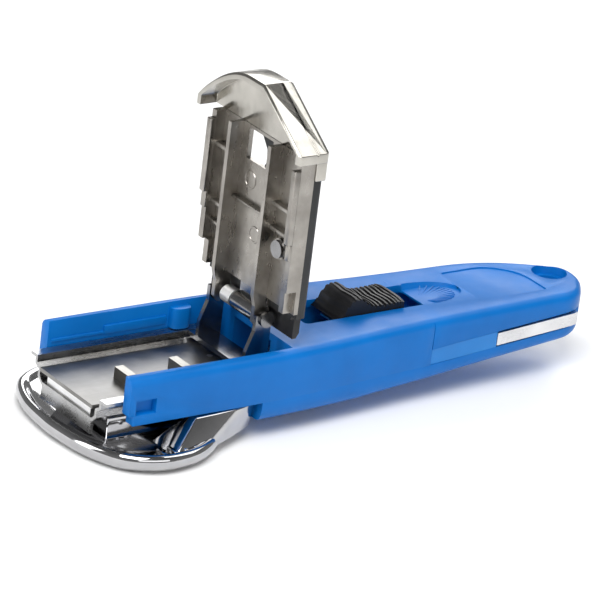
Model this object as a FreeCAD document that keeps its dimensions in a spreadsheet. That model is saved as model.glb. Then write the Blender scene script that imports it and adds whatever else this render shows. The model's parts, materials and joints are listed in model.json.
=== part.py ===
# Safety carton cutter with a flip-up head cover.
# Frame: +Z up, millimetres, nose towards -X, origin on the ground under the middle of the bounding box.
import FreeCAD
import Part
import os
import Sketcher
from FreeCAD import Vector

os.makedirs("parts", exist_ok=True)
doc = FreeCAD.newDocument("cutter")
dims = doc.addObject("Spreadsheet::Sheet", "dims")
row = 0


def size(alias, value):
    """One driving dimension: a plain number in column B with its name as alias."""
    global row
    row += 1
    dims.set("A%d" % row, alias)
    dims.set("B%d" % row, str(value))
    dims.setAlias("B%d" % row, alias)
    return "dims." + alias


# Whole tool
tool_length = size("tool_length", 156.0)
foot_lead = size("foot_lead", 9.6)
top_height = size("top_height", 22.0)
head_width = size("head_width", 40.0)
mid_width = size("mid_width", 31.2)
tail_width = size("tail_width", 28.0)
rail_length = size("rail_length", 48.0)
rail_height = size("rail_height", 12.0)
rail_wall = size("rail_wall", 3.0)
handle_depth = size("handle_depth", 17.2)
tail_lift = size("tail_lift", 4.8)
split_lift = size("split_lift", 3.6)
free_gap = size("free_gap", 0.3)
run_gap = size("run_gap", 0.05)

# Expressions shared by many pieces
front = "(%s - %s / 2)" % (foot_lead, tool_length)
tail = "(%s / 2)" % tool_length
bulk = "(%s + %s)" % (front, rail_length)
split = "(%s - %s)" % (top_height, rail_height)
belly = "(%s - %s)" % (top_height, handle_depth)
half_head = "(%s / 2)" % head_width
half_mid = "(%s / 2)" % mid_width
half_tail = "(%s / 2)" % tail_width
seam_x = "(%s + (%s - %s) * 0.45)" % (bulk, tail, bulk)
NORMALS = {"XY": "XY_Plane", "XZ": "XZ_Plane", "YZ": "YZ_Plane"}


def plus(*terms):
    return "(" + " + ".join(terms) + ")"


def minus(first, *terms):
    return "(" + " - ".join((first,) + terms) + ")"


def neg(term):
    return "(-1 * %s)" % term


class Probe:
    """Evaluates a size expression on a hidden helper object."""

    def __init__(self):
        self.item = doc.addObject("App::FeaturePython", "probe")
        self.item.addProperty("App::PropertyFloat", "Value")

    def read(self, expression):
        self.item.setExpression("Value", expression)
        self.item.recompute()
        return self.item.Value


gauge = Probe()


def new_body(label):
    item = doc.addObject("PartDesign::Body", label)
    item.Label = label
    return item


def plane_of(body, name):
    for feature in body.Origin.OriginFeatures:
        if feature.Role == NORMALS[name]:
            return feature
    raise RuntimeError("no plane " + name)


def draw(body, plane, start, loops=(), rounds=()):
    """A sketch at a distance along its plane's normal, every corner tied to the sheet.
    The normal is +Z for XY, -Y for XZ and +X for YZ."""
    sketch = body.newObject("Sketcher::SketchObject", body.Label + "_sketch")
    sketch.AttachmentSupport = [(plane_of(body, plane), "")]
    sketch.MapMode = "FlatFace"
    sketch.setExpression("AttachmentOffset.Base.z", start)
    for loop in loops:
        spots = [Vector(gauge.read(a), gauge.read(b), 0) for a, b in loop]
        first = sketch.GeometryCount
        count = len(loop)
        for i in range(count):
            sketch.addGeometry(Part.LineSegment(spots[i], spots[(i + 1) % count]), False)
        for i in range(count):
            after = first + (i + 1) % count
            sketch.addConstraint(Sketcher.Constraint("Coincident", first + i, 2, after, 1))
        for i in range(count):
            tie(sketch, "DistanceX", first + i, 1, spots[i].x, loop[i][0])
            tie(sketch, "DistanceY", first + i, 1, spots[i].y, loop[i][1])
    for a, b, radius in rounds:
        centre = Vector(gauge.read(a), gauge.read(b), 0)
        spot = sketch.GeometryCount
        reach = gauge.read(radius)
        sketch.addGeometry(Part.Circle(centre, Vector(0, 0, 1), reach), False)
        tie(sketch, "DistanceX", spot, 3, centre.x, a)
        tie(sketch, "DistanceY", spot, 3, centre.y, b)
        index = sketch.addConstraint(Sketcher.Constraint("Radius", spot, reach))
        sketch.setExpression("Constraints[%d]" % index, radius)
    return sketch


def tie(sketch, kind, item, point, amount, expression):
    index = sketch.addConstraint(Sketcher.Constraint(kind, -1, 1, item, point, amount))
    sketch.setExpression("Constraints[%d]" % index, expression)


def pad(body, plane, start, length, loops=(), rounds=()):
    sketch = draw(body, plane, start, loops, rounds)
    feature = body.newObject("PartDesign::Pad", body.Label + "_pad")
    feature.Profile = sketch
    feature.setExpression("Length", length)
    doc.recompute()
    return feature


def cut(body, plane, start, length, loops=(), rounds=()):
    """A pocket that runs from its sketch along the plane's normal."""
    before = body.Shape.Volume
    sketch = draw(body, plane, start, loops, rounds)
    feature = body.newObject("PartDesign::Pocket", body.Label + "_pocket")
    feature.Profile = sketch
    feature.Reversed = True
    feature.setExpression("Length", length)
    doc.recompute()
    if body.Shape.Volume >= before - 1e-6:
        raise RuntimeError("the pocket in %s removes nothing" % body.Label)
    return feature


def round_edges(body, radius, chosen):
    """A fillet on every edge that the test picks."""
    names = []
    for i, edge in enumerate(body.Shape.Edges):
        if chosen(edge):
            names.append("Edge%d" % (i + 1))
    if not names:
        raise RuntimeError("no edge to round on " + body.Label)
    base = body.Tip
    feature = body.newObject("PartDesign::Fillet", body.Label + "_fillet")
    feature.Base = (base, names)
    feature.setExpression("Radius", radius)
    doc.recompute()
    return feature


def box(low_x, high_x, low_y, high_y):
    return ((low_x, low_y), (high_x, low_y), (high_x, high_y), (low_x, high_y))


def mirror_loop(points):
    """A closed outline from its half with positive second coordinate."""
    other = [(a, neg(b)) for a, b in reversed(points)]
    return tuple(points) + tuple(other)


def rod(name, radius, length, place, axis):
    item = doc.addObject("Part::Cylinder", name)
    item.setExpression("Radius", radius)
    item.setExpression("Height", length)
    turn = {"X": (Vector(0, 1, 0), 90), "Y": (Vector(1, 0, 0), -90), "Z": (Vector(0, 0, 1), 0)}[axis]
    item.Placement = FreeCAD.Placement(Vector(0, 0, 0), FreeCAD.Rotation(turn[0], turn[1]))
    for letter, expression in zip("xyz", place):
        item.setExpression("Placement.Base." + letter, expression)
    return item


def join(label, kind, pieces):
    item = doc.addObject(kind, label)
    if kind == "Part::Cut":
        item.Base = pieces[0]
        item.Tool = pieces[1]
    else:
        item.Shapes = pieces
    item.Label = label
    return item


# ---------------------------------------------------------------- sizes of the pieces
tail_cut = size("tail_cut", 16.0)
shell_round = size("shell_round", 2.2)
slot_start = size("slot_start", 59.6)
slot_length = size("slot_length", 38.0)
slot_width = size("slot_width", 12.4)
roof_thick = size("roof_thick", 2.0)
groove_height = size("groove_height", 4.2)
groove_depth = size("groove_depth", 1.8)
lanyard_back = size("lanyard_back", 6.6)
lanyard_hole = size("lanyard_hole", 3.4)
lanyard_bore = size("lanyard_bore", 5.0)
lanyard_sink = size("lanyard_sink", 2.4)
panel_depth = size("panel_depth", 0.5)
bay_half = minus(half_head, rail_wall)
flange_reach = size("flange_reach", 4.0)
channel_half = minus(bay_half, flange_reach)
channel_lead = size("channel_lead", 4.5)
sheet = size("sheet", 0.8)
channel_drop = size("channel_drop", 13.5)
flange_drop = size("flange_drop", 7.6)
channel_low = "(%s - %s)" % (top_height, channel_drop)
hinge_back = size("hinge_back", 44.0)
hinge_rise = size("hinge_rise", 5.6)
pin_radius = size("pin_radius", 1.2)
hinge_x = plus(front, hinge_back)
hinge_z = plus(top_height, hinge_rise)
ear_inset = size("ear_inset", 3.6)
ear_gap = minus(channel_half, ear_inset)
ear_wall = size("ear_wall", 1.2)
ear_round = plus(pin_radius, "1.8")
bracket_z = size("bracket_z", 14.0)
plate_wall = size("plate_wall", 1.2)
tray_half = "(%s - %s - %s)" % (channel_half, sheet, "2 * " + "dims.free_gap")
tray_top = size("tray_top", 13.0)
tray_wall = size("tray_wall", 1.0)
tray_rear = size("tray_rear", 41.0)
travel_fore = size("travel_fore", 8.0)
travel_back = size("travel_back", 7.0)
slider_length = size("slider_length", 20.0)
slider_rise = size("slider_rise", 4.6)
cover_over = size("cover_over", 0.6)
cover_half = plus(half_head, cover_over)
far_inset = size("far_inset", 3.2)
cover_far = minus(cover_half, far_inset)
cover_wall = size("cover_wall", 1.8)
cover_reach = size("cover_reach", 44.4)
web_out = size("web_out", 0.3)
web_wall = size("web_wall", 1.2)
rib_wall = size("rib_wall", 1.3)
rib_depth = size("rib_depth", 3.6)
wall_depth = size("wall_depth", 2.6)
skin = size("skin", 3.1)
nose_over = size("nose_over", 2.0)
nose_half = plus(half_head, nose_over)
nose_rise = size("nose_rise", 14.2)
nose_wall = size("nose_wall", 1.8)
foot_half = size("foot_half", 29.0)
foot_thick = size("foot_thick", 4.8)
foot_rim = size("foot_rim", 2.4)
foot_dish = size("foot_dish", 1.2)
foot_length = size("foot_length", 52.0)
foot_seat = size("foot_seat", 11.0)
screw_radius = size("screw_radius", 1.4)
head_radius = size("head_radius", 2.7)
head_height = size("head_height", 1.8)
doc.recompute()


# ---------------------------------------------------------------- handle shells
def handle_outline(nose):
    """Plan of the handle: straight flanks that narrow to the tail, with the far rear corner swept off."""
    return (
        (nose, neg(half_head)),
        (bulk, neg(half_head)),
        (seam_x, neg(half_mid)),
        (minus(tail, "9"), neg(half_tail)),
        (minus(tail, "6"), neg(minus(half_tail, "0.7"))),
        (minus(tail, "3"), neg(minus(half_tail, "3"))),
        (minus(tail, "1"), neg(minus(half_tail, "6.4"))),
        (tail, neg(minus(half_tail, "10"))),
        (tail, "0"),
        (minus(tail, "1.4"), minus(half_tail, "9")),
        (minus(tail, "5"), minus(half_tail, "4.6")),
        (minus(tail, "10"), minus(half_tail, "1.6")),
        (minus(tail, tail_cut), half_tail),
        (seam_x, half_mid),
        (bulk, half_head),
        (nose, half_head),
    )


# Blue upper shell: the handle top with its two long rails either side of the blade bay
upper = new_body("upper_core")
pad(upper, "XY", split, rail_height, [handle_outline(front)])
round_edges(upper, shell_round, lambda e: e.BoundBox.ZMin > gauge.read(top_height) - 0.01)
cut(upper, "XY", minus(split, "1"), plus(rail_height, "2"),
    [box(minus(front, "1"), bulk, neg(bay_half), bay_half)])
slot_x = plus(front, slot_start)
slot_end = plus(slot_x, slot_length)
half_slot = "(%s / 2)" % slot_width
cavity_half = plus(half_slot, "1.6")
cut(upper, "XY", minus(split, "1"), plus(minus(rail_height, roof_thick), "1"),
    [box(minus(bulk, "1"), plus(slot_end, "4"), neg(cavity_half), cavity_half)])
cut(upper, "XY", minus(top_height, roof_thick, "1"), plus(roof_thick, "2"),
    [box(slot_x, slot_end, neg(half_slot), half_slot)])
hole_x = minus(tail, lanyard_back)
split_rise = plus(split, split_lift)
cut(upper, "XZ", minus(neg(half_head), "2"), plus(head_width, "4"),
    [((seam_x, minus(split, "1")), (plus(tail, "2"), minus(split, "1")), (plus(tail, "2"), split_rise),
      (seam_x, split))])
cut(upper, "XY", minus(split, "1"), plus(rail_height, "2"), (), [(hole_x, "0", lanyard_hole)])
cut(upper, "XY", minus(top_height, lanyard_sink), plus(lanyard_sink, "1"),
    (), [(hole_x, "0", lanyard_bore)])
panel_x = plus(slot_end, "14")
panel_end = minus(hole_x, lanyard_bore, "1.5")
panel_half = minus(half_tail, "4.5")
cut(upper, "XY", minus(top_height, panel_depth), plus(panel_depth, "1"),
    [((panel_x, neg(panel_half)), (panel_end, neg(panel_half)), (panel_end, "0"),
      (minus(panel_end, "5"), panel_half), (panel_x, panel_half))])
# Dished thumb recess just behind the slot
dish_x = plus(slot_end, "0.6")
cut(upper, "XY", minus(top_height, "1.1"), "2",
    [((dish_x, neg(half_slot)), (plus(dish_x, "5"), neg(minus(half_slot, "0.6"))),
      (plus(dish_x, "9"), neg(minus(half_slot, "2.8"))), (plus(dish_x, "10.6"), "0"),
      (plus(dish_x, "9"), minus(half_slot, "2.8")), (plus(dish_x, "5"), minus(half_slot, "0.6")),
      (dish_x, half_slot))])
# Small snap window in the near rail and the notched tongue at its front end
cut(upper, "XZ", minus(half_head, rail_wall, "1"), plus(rail_wall, "2"),
    [box(plus(front, "1.8"), plus(front, "7.4"), plus(split, "2.4"), plus(split, "5.6"))])
cut(upper, "XZ", minus(half_head, "1.2"), "3",
    [box(minus(front, "1"), plus(front, "1.2"), minus(split, "1"), plus(split, "4"))])

# Groove along the near flank for the tinted insert and the steel tape splitter, rising with the split line
groove_in = minus(half_tail, groove_depth)
flank_in = minus(half_mid, groove_depth)
groove_end = minus(tail, "7")
groove_plan = new_body("groove_plan")
pad(groove_plan, "XY", minus(split, "2"), plus(groove_height, split_lift, "4"),
    [((seam_x, neg(flank_in)), (minus(tail, "9"), neg(groove_in)),
        (groove_end, neg(minus(groove_in, "0.6"))),
      (plus(tail, "2"), neg(minus(groove_in, "0.8"))), (plus(tail, "2"), neg(plus(half_mid, "2"))),
      (seam_x, neg(plus(half_mid, "2"))))])


def slanted_slab(name, clear):
    """A slab that follows the rising split line, a little clear of the groove's floor and roof."""
    item = new_body(name)
    pad(item, "XZ", minus(neg(half_head), "4"), plus(head_width, "8"),
        [((seam_x, plus(split, clear)), (plus(tail, "2"), plus(split_rise, clear)),
          (plus(tail, "2"), minus(plus(split_rise, groove_height), clear)),
          (seam_x, minus(plus(split, groove_height), clear)))])
    return item


groove = join("groove", "Part::MultiCommon", [groove_plan, slanted_slab("groove_slab", "-0.01")])

# Blue lower shell under the handle, its belly lifting to the tail
lower = new_body("lower_shell")
shell_nose = minus(bulk, "9")
pad(lower, "XY", belly, minus(split_rise, belly), [handle_outline(shell_nose)])
cut(lower, "XZ", minus(neg(half_head), "2"), plus(head_width, "4"),
    [((minus(bulk, "12"), split), (seam_x, split), (plus(tail, "2"), split_rise),
      (plus(tail, "2"), plus(split_rise, "9")), (minus(bulk, "12"), plus(split_rise, "9")))])
cut(lower, "XZ", neg(half_head) + " - 2", plus(head_width, "4"),
    [((minus(bulk, "10"), minus(belly, "3")), (plus(tail, "2"), minus(belly, "3")),
      (plus(tail, "2"), plus(belly, tail_lift, "0.8")), (minus(tail, "6"), plus(belly, tail_lift)),
      (seam_x, plus(belly, "1.0")), (minus(seam_x, "22"), plus(belly, "0.1")),
      (bulk, plus(belly, "0.02")), (minus(bulk, "10"), plus(belly, "0.02")))])
cut(lower, "XY", minus(channel_low, free_gap), rail_height,
    [box(minus(bulk, "10"), minus(bulk, "1.2"), neg(plus(channel_half, free_gap)), plus(channel_half,
        free_gap))])
cut(lower, "XY", minus(belly, "1"), handle_depth, (), [(hole_x, "0", lanyard_hole)])
screw_spots = ((plus(bulk, "8"), "12.5", "0"), (plus(bulk, "8"), "-12.5", "0"),
    (minus(hole_x, "20"), "0", "3"))
for spot_x, spot_y, lift in screw_spots:
    cut(lower, "XY", minus(belly, "1"), handle_depth, (), [(spot_x, spot_y, plus(screw_radius, run_gap))])
    cut(lower, "XY", minus(belly, "1"), plus(head_height, "2", lift), (),
        [(spot_x, spot_y, plus(head_radius, run_gap))])
    cut(upper, "XY", minus(split, "1"), plus("1", "6.2"), (), [(spot_x, spot_y, screw_radius)])
upper_shell = join("upper_shell", "Part::Cut", [upper, groove])


def fastener(name, spot_x, spot_y, low, length, radius, head, tall):
    """A round-headed screw standing upright with its head at the bottom."""
    shank = rod(name + "_shank", radius, length, (spot_x, spot_y, low), "Z")
    crown = rod(name + "_crown", head, tall, (spot_x, spot_y, low), "Z")
    whole = join(name, "Part::MultiFuse", [crown, shank])
    return whole


def bundle(label, pieces):
    item = doc.addObject("Part::Compound", label)
    item.Links = pieces
    item.Label = label
    return item


shell_screws = bundle("shell_screws", [
    fastener("shell_screw_%d" % i, sx, sy, plus(belly, "1", lift), minus(plus(split, "6"), belly, "1",
        lift),
             screw_radius, head_radius, head_height)
    for i, (sx, sy, lift) in enumerate(screw_spots)])

# Tinted insert and steel tape splitter lying end to end in the near groove
insert_end = plus(seam_x, "21")
slope = "((%s - %s) / (%s - 9 - %s))" % (half_mid, half_tail, tail, seam_x)
insert_half = "(%s - 21 * %s)" % (half_mid, slope)
insert_plan = new_body("insert_plan")
pad(insert_plan, "XY", minus(split, "2"), plus(groove_height, split_lift, "4"),
    [((plus(seam_x, "0.1"), neg(half_mid)), (insert_end, neg(insert_half)),
      (insert_end, neg(minus(insert_half, groove_depth, "-0.05"))),
      (plus(seam_x, "0.1"), neg(plus(flank_in, "0.05"))))])
insert = join("side_insert", "Part::MultiCommon", [insert_plan, slanted_slab("insert_slab", "0.05")])
splitter_plan = new_body("splitter_plan")
strip_start = plus(insert_end, "0.1")
pad(splitter_plan, "XY", minus(split, "2"), plus(groove_height, split_lift, "4"),
    [((strip_start, neg(plus(insert_half, "0.1"))), (minus(tail, "9"), neg(plus(half_tail, "0.3"))),
      (minus(tail, "7.2"), neg(half_tail)), (minus(tail, "7.2"), neg(minus(groove_in, "0.45"))),
      (minus(tail, "9"), neg(plus(groove_in, "0.05"))),
      (strip_start, neg(minus(insert_half, groove_depth, "-0.05"))))])
splitter = join("tape_splitter", "Part::MultiCommon", [splitter_plan, slanted_slab("splitter_slab",
    "0.45")])

# ---------------------------------------------------------------- steel channel and what lies in it
channel = new_body("steel_channel")
flange_z = minus(top_height, flange_drop)
half_jog = plus(channel_half, "1.6")
half_flange = minus(bay_half, free_gap)
channel_rear = minus(hinge_x, "0.4")
channel_front = minus(front, channel_lead)
channel_run = minus(channel_rear, channel_front)
right_side = (
    (minus(channel_half, "1.6"), channel_low),
    (channel_half, plus(channel_low, "1.6")),
    (channel_half, plus(channel_low, "3.4")),
    (half_jog, plus(channel_low, "4.4")),
    (half_jog, flange_z),
    (half_flange, flange_z),
    (half_flange, plus(flange_z, sheet)),
    (minus(half_jog, sheet), plus(flange_z, sheet)),
    (minus(half_jog, sheet), plus(channel_low, "4.8")),
    (minus(channel_half, sheet), plus(channel_low, "3.8")),
    (minus(channel_half, sheet), plus(channel_low, "2")),
    (minus(channel_half, "2"), plus(channel_low, sheet)),
)
left_side = tuple((neg(a), b) for a, b in reversed(right_side))
pad(channel, "YZ", channel_front, channel_run, [right_side + left_side])
# the front edge of the sheet is folded down in front of the foot's seat
apron_half = minus(channel_half, "2")
pad(channel, "YZ", channel_front, sheet,
    [box(neg(apron_half), apron_half, minus(channel_low, "3.4"), plus(channel_low, "0.4"))])
foot_spots = (plus(front, "8"), plus(front, "22"))
for spot in foot_spots:
    cut(channel, "XY", minus(channel_low, "1"), plus(sheet, "2"),
        (), [(spot, "0", plus(screw_radius, run_gap))])

runner = new_body("tray_runner")
runner_low = plus(channel_low, sheet)
runner_tall = minus(tray_top, tray_wall, free_gap, runner_low)
pad(runner, "XY", runner_low, runner_tall,
    [box(plus(channel_front, "0.6"), plus(front, "26"), neg(minus(channel_half, "3.4")),
        minus(channel_half, "3.4"))])
for spot in foot_spots:
    cut(runner, "XY", minus(runner_low, "1"), plus(runner_tall, "0.2"), (), [(spot, "0", screw_radius)])

# ---------------------------------------------------------------- sliding blade tray and thumb slider
tray = new_body("blade_tray")
tray_low = minus(tray_top, tray_wall)
pad(tray, "XY", tray_low, tray_wall,
    [box(minus(front, "5"), plus(front, tray_rear), neg(tray_half), tray_half)])
lug_x = (plus(front, "8.8"), plus(front, "24.4"))
lug_low = plus(neg(tray_half), "6.2")
lug_rise = size("lug_rise", 2.8)
for spot in lug_x:
    cut(tray, "XY", minus(tray_low, "1"), plus(tray_wall, "2"),
        [box(spot, plus(spot, "2.4"), lug_low, plus(lug_low, "5.8"))])
lugs = []
doc.recompute()
for i, spot in enumerate(lug_x):
    lug = doc.addObject("Part::Box", "lug_%d" % i)
    lug.setExpression("Length", "2.4")
    lug.setExpression("Width", "5.8")
    lug.setExpression("Height", plus(tray_wall, lug_rise))
    lug.setExpression("Placement.Base.x", spot)
    lug.setExpression("Placement.Base.y", lug_low)
    lug.setExpression("Placement.Base.z", tray_low)
    lugs.append(lug)
tray_lugs = bundle("tray_lugs", lugs)

link = new_body("link_bar")
link_thick = size("link_thick", 1.0)
doc.recompute()
slider_x = plus(slot_x, travel_fore, "2")
slider_end = plus(slider_x, slider_length)
link_low = minus(tray_low, link_thick)
link_front = plus(front, tray_rear, "-5")
pad(link, "XY", link_low, link_thick, [box(link_front, minus(slider_end, "2"), "-5", "5")])
stem_x = plus(slider_x, "5")
stem_end = plus(slider_x, "14")
rivet_spots = ((plus(link_front, "2.5"), "-3"), (plus(link_front, "2.5"), "3"))
for spot_x, spot_y in rivet_spots:
    cut(link, "XY", minus(link_low, "1"), plus(link_thick, "2"), (), [(spot_x, spot_y, "0.8")])
    cut(tray, "XY", minus(tray_low, "1"), plus(tray_wall, "2"), (), [(spot_x, spot_y, "0.8")])
link_rivets = bundle("link_rivets", [
    rod("link_rivet_%d" % i, "0.8", plus(tray_wall, link_thick), (sx, sy, link_low), "Z")
    for i, (sx, sy) in enumerate(rivet_spots)])

thumb = new_body("thumb_slider")
slider_half = minus(half_slot, free_gap)
slider_low = minus(top_height, "1.2")
ridge = slider_rise
steps = [(slider_x, slider_low), (slider_end, slider_low), (slider_end, plus(top_height, "0.8")),
         (minus(slider_end, "0.5"), plus(top_height, "1.5"))]
for i in range(5):
    back = "%.1f" % (1.0 + 1.7 * i)
    steps.append((minus(slider_end, back), plus(top_height, "2.0")))
    steps.append((minus(slider_end, back, "0.9"), plus(top_height, "2.0")))
    steps.append((minus(slider_end, back, "1.1"), plus(top_height, "1.5")))
    steps.append((minus(slider_end, back, "1.5"), plus(top_height, "1.5")))
steps += [(plus(slider_x, "10"), plus(top_height, "1.8")),
          (plus(slider_x, "8.6"), plus(top_height, ridge, "-0.9")),
          (plus(slider_x, "7.6"), plus(top_height, ridge, "-0.3")),
          (plus(slider_x, "6.4"), plus(top_height, ridge)),
          (plus(slider_x, "4.4"), plus(top_height, ridge, "-0.2")),
          (plus(slider_x, "2.2"), plus(top_height, ridge, "-1.4")),
          (plus(slider_x, "0.6"), plus(top_height, "1.4"))]
pad(thumb, "XZ", neg(slider_half), "(2 * %s)" % slider_half, [tuple(steps)])

stem = new_body("slider_stem")
stem_top = slider_low
pad(stem, "XY", plus(link_low, link_thick), minus(stem_top, link_low, link_thick),
    [box(stem_x, stem_end, "-4.2", "4.2")])
detent = new_body("detent_spring")
detent_low = minus(top_height, roof_thick, free_gap, "0.5")
pad(detent, "XY", detent_low, "0.5",
    [box(minus(stem_x, "4"), stem_x, "-3", "3")])

# ---------------------------------------------------------------- hinge at the foot of the cover
bracket = new_body("hinge_bracket")
bracket_front = minus(hinge_x, "5")
bracket_rear = plus(hinge_x, "1.6")
ear_out = plus(ear_gap, ear_wall)
pad(bracket, "YZ", bracket_front, minus(bracket_rear, bracket_front),
    [((neg(ear_out), bracket_z), (ear_out, bracket_z), (ear_out, plus(hinge_z, "1")),
      (ear_gap, plus(hinge_z, "1")), (ear_gap, plus(bracket_z, plate_wall)),
      (neg(ear_gap), plus(bracket_z, plate_wall)), (neg(ear_gap), plus(hinge_z, "1")),
      (neg(ear_out), plus(hinge_z, "1")))])
cut(bracket, "XZ", minus(neg(ear_out), "1"), plus("(2 * %s)" % ear_out, "2"),
    [((minus(bracket_front, "1"), plus(bracket_z, plate_wall, "1.5")),
      (minus(hinge_x, ear_round), minus(hinge_z, "3")), (minus(hinge_x, ear_round), plus(hinge_z, "3")),
      (minus(bracket_front, "1"), plus(hinge_z, "3")))])
cut(bracket, "XZ", minus(neg(ear_out), "1"), plus("(2 * %s)" % ear_out, "2"), (),
    [(hinge_x, hinge_z, pin_radius)])
# The bracket's side tabs rest on the flanges of the channel
tabs = new_body("bracket_tabs")
pad(tabs, "YZ", bracket_front, "4",
    [((ear_out, bracket_z), (minus(half_jog, sheet, "0.2"), bracket_z),
      (minus(half_jog, sheet, "0.2"), plus(bracket_z, plate_wall)), (ear_out, plus(bracket_z, plate_wall))),
     ])
tabs_far = new_body("bracket_tab_far")
pad(tabs_far, "YZ", bracket_front, "4",
    [((neg(ear_out), bracket_z), (neg(minus(half_jog, sheet, "0.2")), bracket_z),
      (neg(minus(half_jog, sheet, "0.2")), plus(bracket_z, plate_wall)),
      (neg(ear_out), plus(bracket_z, plate_wall)))])
bracket_tabs = bundle("bracket_side_tabs", [tabs, tabs_far])

pin_out = plus(ear_out, "0.8")
pin_core = rod("pin_core", pin_radius, "(2 * %s)" % pin_out, (hinge_x, neg(pin_out), hinge_z), "Y")
pin_head = rod("pin_head", plus(pin_radius, "0.9"), "0.8", (hinge_x, neg(plus(ear_out, "0.8")), hinge_z),
    "Y")
hinge_pin = join("hinge_pin", "Part::MultiFuse", [pin_core, pin_head])

spring_low = "2.2"
rib_y = minus(ear_gap, free_gap, rib_wall)
spring_out = rod("spring_out", plus(pin_radius, "1.1"), minus(rib_y, "3"),
    (hinge_x, spring_low, hinge_z), "Y")
spring_in = rod("spring_in", plus(pin_radius, "0.35"), minus(rib_y, "1"), (hinge_x, "1.2", hinge_z), "Y")
hinge_spring = join("hinge_spring", "Part::Cut", [spring_out, spring_in])

# ---------------------------------------------------------------- flip-up cover
cover = new_body("cover_frame")
web_x = plus(hinge_x, web_out)
web_end = plus(web_x, web_wall)
cover_low = plus(hinge_z, "5")
cover_top = plus(hinge_z, cover_reach)
pad(cover, "YZ", web_x, web_wall,
    [box(neg(cover_half), cover_far, cover_low, cover_top)])
# side walls; the far one stands further in
for sign, reach in (("1", cover_far), ("-1", cover_half)):
    outer = "(%s * %s)" % (sign, reach)
    inner = "(%s * %s)" % (sign, minus(reach, cover_wall))
    pad(cover, "YZ", minus(hinge_x, wall_depth), plus(wall_depth, web_out),
        [((outer, plus(cover_low, "6")), (inner, plus(cover_low, "6")), (inner, cover_top),
            (outer, cover_top))])
    low_outer = "(%s * %s)" % (sign, minus(reach, "1.6"))
    low_inner = "(%s * %s)" % (sign, minus(reach, "1.6", cover_wall))
    pad(cover, "YZ", minus(hinge_x, wall_depth, "-0.8"), plus(wall_depth, web_out, "-0.8"),
        [((low_outer, cover_low), (low_inner, cover_low), (low_inner, plus(cover_low, "6")),
          (low_outer, plus(cover_low, "6")))])
# the two long ribs run down past the web and carry the hinge bore
for sign in ("1", "-1"):
    start = "(%s)" % neg(plus(rib_y, rib_wall)) if sign == "1" else rib_y
    pad(cover, "XZ", start, rib_wall,
        [((minus(hinge_x, rib_depth), plus(hinge_z, "6")), (minus(hinge_x, "2.8"), plus(hinge_z, "3")),
          (minus(hinge_x, "2.8"), minus(hinge_z, "1.2")), (minus(hinge_x, "1.4"), minus(hinge_z, "2.8")),
          (plus(hinge_x, "1.4"), minus(hinge_z, "2.8")), (plus(hinge_x, "2.4"), minus(hinge_z, "1.2")),
          (web_end, plus(hinge_z, "2.2")), (web_end, cover_top), (minus(hinge_x, rib_depth), cover_top))])
cut(cover, "XZ", minus(neg(ear_gap), "1"), plus("(2 * %s)" % ear_gap, "2"), (),
    [(hinge_x, hinge_z, plus(pin_radius, run_gap))])
# window through the web near the top and the near side boss
cut(cover, "YZ", minus(web_x, "1"), plus(web_wall, "2"),
    [box("-4.6", "5.4", minus(cover_top, "8.6"), minus(cover_top, "0.8"))])
boss_y = "((%s + %s) / -2)" % (rib_y, cover_half)
boss_z = plus(cover_low, "15")
pad(cover, "YZ", minus(hinge_x, "1.6"), plus(web_out, "1.6"), (), [(boss_y, boss_z, "2.6")])
cut(cover, "YZ", minus(hinge_x, "2.6"), plus(web_out, web_wall, "3.6"),
    (), [(boss_y, boss_z, screw_radius)])

sleeve_low = plus(neg(rib_y), "0.4")
sleeve_run = plus(rib_y, "1.4")
sleeve_out = rod("sleeve_out", plus(pin_radius, "1.2"), sleeve_run, (hinge_x, sleeve_low, hinge_z), "Y")
sleeve_in = rod("sleeve_in", plus(pin_radius, run_gap), plus(sleeve_run, "2"),
    (hinge_x, minus(sleeve_low, "1"), hinge_z), "Y")
sleeve_arm = doc.addObject("Part::Box", "sleeve_arm")
sleeve_arm.setExpression("Length", web_wall)
sleeve_arm.setExpression("Width", sleeve_run)
sleeve_arm.setExpression("Height", "5")
sleeve_arm.setExpression("Placement.Base.x", web_x)
sleeve_arm.setExpression("Placement.Base.y", sleeve_low)
sleeve_arm.setExpression("Placement.Base.z", hinge_z)
sleeve_whole = join("sleeve_whole", "Part::MultiFuse", [sleeve_out, sleeve_arm])
hinge_sleeve = join("hinge_sleeve", "Part::Cut", [sleeve_whole, sleeve_in])

nose = new_body("cover_nose")
nose_low = plus(cover_top, "0.05")
nose_x = minus(hinge_x, "4.6")
nose_end = plus(web_end, skin)
eave = plus(nose_low, "1.6")
peak = plus(nose_low, nose_rise)
pad(nose, "YZ", nose_x, minus(nose_end, nose_x),
    [((neg(nose_half), minus(nose_low, "0.0")), (neg(minus(nose_half, nose_wall)), nose_low),
      (neg(minus(nose_half, nose_wall)), eave), ("-2.6", minus(peak, nose_wall)),
      ("6", minus(peak, nose_wall, "1.6")), ("14", minus(peak, nose_wall, "5.6")),
      (minus(nose_half, nose_wall), eave), (minus(nose_half, nose_wall), nose_low), (nose_half, nose_low),
      (nose_half, plus(eave, "0.8")), ("15", minus(peak, "4.6")), ("6", minus(peak, "0.9")), ("0", peak),
      ("-4", peak), (neg(nose_half), plus(eave, "0.8")))])
pad(nose, "YZ", web_x, web_wall,
    [((neg(minus(nose_half, "0.4")), nose_low), (minus(nose_half, "0.4"), nose_low),
      (minus(nose_half, "0.4"), eave), ("14", minus(peak, nose_wall, "5.0")),
      ("6", minus(peak, nose_wall, "1.0")), ("-2.6", minus(peak, nose_wall, "-0.5")),
      (neg(minus(nose_half, "0.4")), eave))])

pad(nose, "YZ", web_end, skin,
    [box(neg(minus(nose_half, "0.9")), neg(minus(cover_half, "4.2")), minus(cover_top, "5"),
        plus(nose_low, "0.6"))])

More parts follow.
